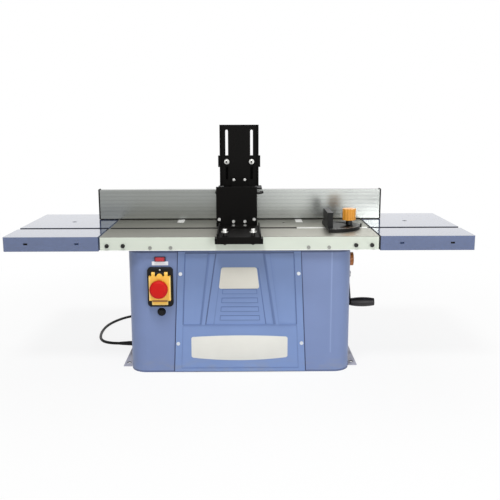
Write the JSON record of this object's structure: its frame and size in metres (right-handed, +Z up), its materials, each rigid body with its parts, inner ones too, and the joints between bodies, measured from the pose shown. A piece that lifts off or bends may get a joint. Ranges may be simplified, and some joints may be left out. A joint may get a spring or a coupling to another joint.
{
  "type": "spindle moulder",
  "caption": "Benchtop spindle moulder: wide table with folded wings, split fence, spring pressers, mitre gauge, and a crank that lifts the spindle in its cabinet.",
  "frame": {"origin": "on the bench, under the middle of the table and of the four foot bolts", "axes": "+X along the table to the operator's right, +Y to the back, +Z up"},
  "size_m": [1.034, 0.5112, 0.552],
  "materials": {
    "case_blue": "semi-gloss powder coat",
    "panel_blue": "semi-gloss powder coat over pressed relief",
    "table_iron": "ground top with a pale painted skirt",
    "fence_aluminium": "mill finish, drawn along the flutes",
    "dark_paint": "satin black",
    "black_plastic": "moulded, fine grain",
    "zinc": "bright zinc plate",
    "steel": "turned and ground",
    "orange_knob": "moulded",
    "flap_yellow": "moulded",
    "stop_red": "moulded",
    "start_green": "moulded",
    "lamp_red": "clear tinted",
    "cord_black": "smooth sheath"
  },
  "bodies": {
    "base": {"cabinet_shell": "case_blue", "front_panel": "panel_blue", "rear_panel": "case_blue", "table_top": "table_iron", "case_screws": "zinc", "left_wing": "case_blue", "right_wing": "case_blue", "insert_ring": "table_iron", "front_strap": "dark_paint", "front_clamp_bolts": "zinc", "switch_housing": "black_plastic", "pilot_lamp": "lamp_red", "crank_bush": "zinc", "guide_columns": "steel", "lower_bridge": "dark_paint", "gear_bracket": "dark_paint", "cord_gland": "black_plastic", "power_cord": "cord_black", "cord_coil": "cord_black", "cord_tie": "black_plastic", "mains_plug": "black_plastic"},
    "fence": {"fence_body": "dark_paint", "slot_clamps": "zinc", "dust_port": "black_plastic", "presser_bracket": "dark_paint", "upper_clamp_bolts": "zinc"},
    "left_fence": {"left_fence_plate": "fence_aluminium"},
    "right_fence": {"right_fence_plate": "fence_aluminium"},
    "left_lock": {"left_fence_lock": "orange_knob"},
    "right_lock": {"right_fence_lock": "orange_knob"},
    "left_clamp": {"left_clamp_knob": "orange_knob"},
    "right_clamp": {"right_clamp_knob": "orange_knob"},
    "upper_presser": {"upper_plate": "dark_paint", "upper_shoe": "black_plastic", "upper_rivets": "zinc"},
    "front_presser": {"front_plate": "dark_paint", "front_pad": "black_plastic", "pad_fasteners": "zinc"},
    "mitre_slide": {"mitre_bar": "steel"},
    "mitre_swivel": {"mitre_head": "steel"},
    "mitre_clamp": {"mitre_knob": "orange_knob"},
    "flap": {"switch_flap": "flap_yellow"},
    "stop": {"stop_button": "stop_red"},
    "start": {"start_key": "start_green"},
    "halt": {"stop_key": "stop_red"},
    "reset": {"reset_button": "black_plastic"},
    "height_lock": {"lock_knob": "orange_knob"},
    "crank": {"crank_shaft": "steel", "crank_gear": "steel", "crank_arm": "zinc"},
    "grip": {"crank_grip": "black_plastic"},
    "lift_screw": {"lead_screw": "steel", "screw_gear": "steel"},
    "lift": {"carriage": "dark_paint", "motor_housing": "fence_aluminium", "stator": "dark_paint", "bearings": "steel"},
    "spindle": {"spindle": "steel", "fan": "black_plastic", "collet_nut": "steel"}
  },
  "joints": [
    {"name": "fence_slide", "type": "slide", "parent": "base", "child": "fence", "axis": [0, 1, 0], "range_m": [0, 0.03]},
    {"name": "left_fence_slide", "type": "slide", "parent": "fence", "child": "left_fence", "axis": [1, 0, 0], "range_m": [-0.03, 0.02]},
    {"name": "right_fence_slide", "type": "slide", "parent": "fence", "child": "right_fence", "axis": [1, 0, 0], "range_m": [-0.02, 0.03]},
    {"name": "left_lock_turn", "type": "hinge", "parent": "left_fence", "child": "left_lock", "pos_m": [-0.222, 0.12, 0.352], "axis": [0, 1, 0], "range_deg": [0, 360]},
    {"name": "right_lock_turn", "type": "hinge", "parent": "right_fence", "child": "right_lock", "pos_m": [0.222, 0.12, 0.352], "axis": [0, 1, 0], "range_deg": [0, 360]},
    {"name": "left_clamp_turn", "type": "hinge", "parent": "fence", "child": "left_clamp", "pos_m": [-0.147, 0.119, 0.335], "axis": [0, 0, 1], "range_deg": [0, 360]},
    {"name": "right_clamp_turn", "type": "hinge", "parent": "fence", "child": "right_clamp", "pos_m": [0.147, 0.119, 0.335], "axis": [0, 0, 1], "range_deg": [0, 360]},
    {"name": "upper_presser_slide", "type": "slide", "parent": "fence", "child": "upper_presser", "axis": [0, 0, 1], "range_m": [-0.069, 0.035]},
    {"name": "front_presser_slide", "type": "slide", "parent": "base", "child": "front_presser", "axis": [0, 1, 0], "range_m": [-0.11, 0]},
    {"name": "mitre_travel", "type": "slide", "parent": "base", "child": "mitre_slide", "axis": [1, 0, 0], "range_m": [-0.105, 0.2]},
    {"name": "mitre_angle", "type": "hinge", "parent": "mitre_slide", "child": "mitre_swivel", "pos_m": [0.211, -0.061, 0.32], "axis": [0, 0, 1], "range_deg": [-60, 60]},
    {"name": "mitre_knob_turn", "type": "hinge", "parent": "mitre_slide", "child": "mitre_clamp", "pos_m": [0.256, -0.061, 0.345], "axis": [0, 0, 1], "range_deg": [0, 360]},
    {"name": "flap_lift", "type": "hinge", "parent": "base", "child": "flap", "pos_m": [-0.1763, -0.1823, 0.233], "axis": [-1, 0, 0], "range_deg": [0, 85]},
    {"name": "stop_press", "type": "slide", "parent": "flap", "child": "stop", "axis": [0, 1, 0], "range_m": [0, 0.003], "stiffness_N_per_m": 600, "springref_m": -0.0005},
    {"name": "start_press", "type": "slide", "parent": "base", "child": "start", "axis": [0, 1, 0], "range_m": [0, 0.002], "stiffness_N_per_m": 600, "springref_m": -0.0005},
    {"name": "halt_press", "type": "slide", "parent": "base", "child": "halt", "axis": [0, 1, 0], "range_m": [0, 0.002], "stiffness_N_per_m": 600, "springref_m": -0.0005},
    {"name": "reset_press", "type": "slide", "parent": "base", "child": "reset", "axis": [0, 1, 0], "range_m": [0, 0.004], "stiffness_N_per_m": 600, "springref_m": -0.0005},
    {"name": "height_lock_turn", "type": "hinge", "parent": "base", "child": "height_lock", "pos_m": [0.262, -0.075, 0.243], "axis": [1, 0, 0], "range_deg": [0, 360]},
    {"name": "crank_turn", "type": "hinge", "parent": "base", "child": "crank", "pos_m": [0.262, 0.018, 0.186], "axis": [1, 0, 0], "range_deg": [-1800, 1800]},
    {"name": "grip_spin", "type": "hinge", "parent": "crank", "child": "grip", "pos_m": [0.2955, -0.02473, 0.12497], "axis": [1, 0, 0], "continuous": true},
    {"name": "lead_screw_turn", "type": "hinge", "parent": "base", "child": "lift_screw", "pos_m": [0, 0.018, 0.1], "axis": [0, 0, 1], "range_deg": [-1801, 1801]},
    {"name": "lift_slide", "type": "slide", "parent": "base", "child": "lift", "axis": [0, 0, 1], "range_m": [-0.0201, 0.0201]},
    {"name": "spindle_spin", "type": "hinge", "parent": "lift", "child": "spindle", "pos_m": [0, 0.105, 0.2], "axis": [0, 0, 1], "continuous": true}
  ],
  "couplings": [
    {"joint": "lead_screw_turn", "follows": "crank_turn", "ratio": 1},
    {"joint": "lift_slide", "follows": "crank_turn", "m_per_rad": -0.00063662}
  ]
}
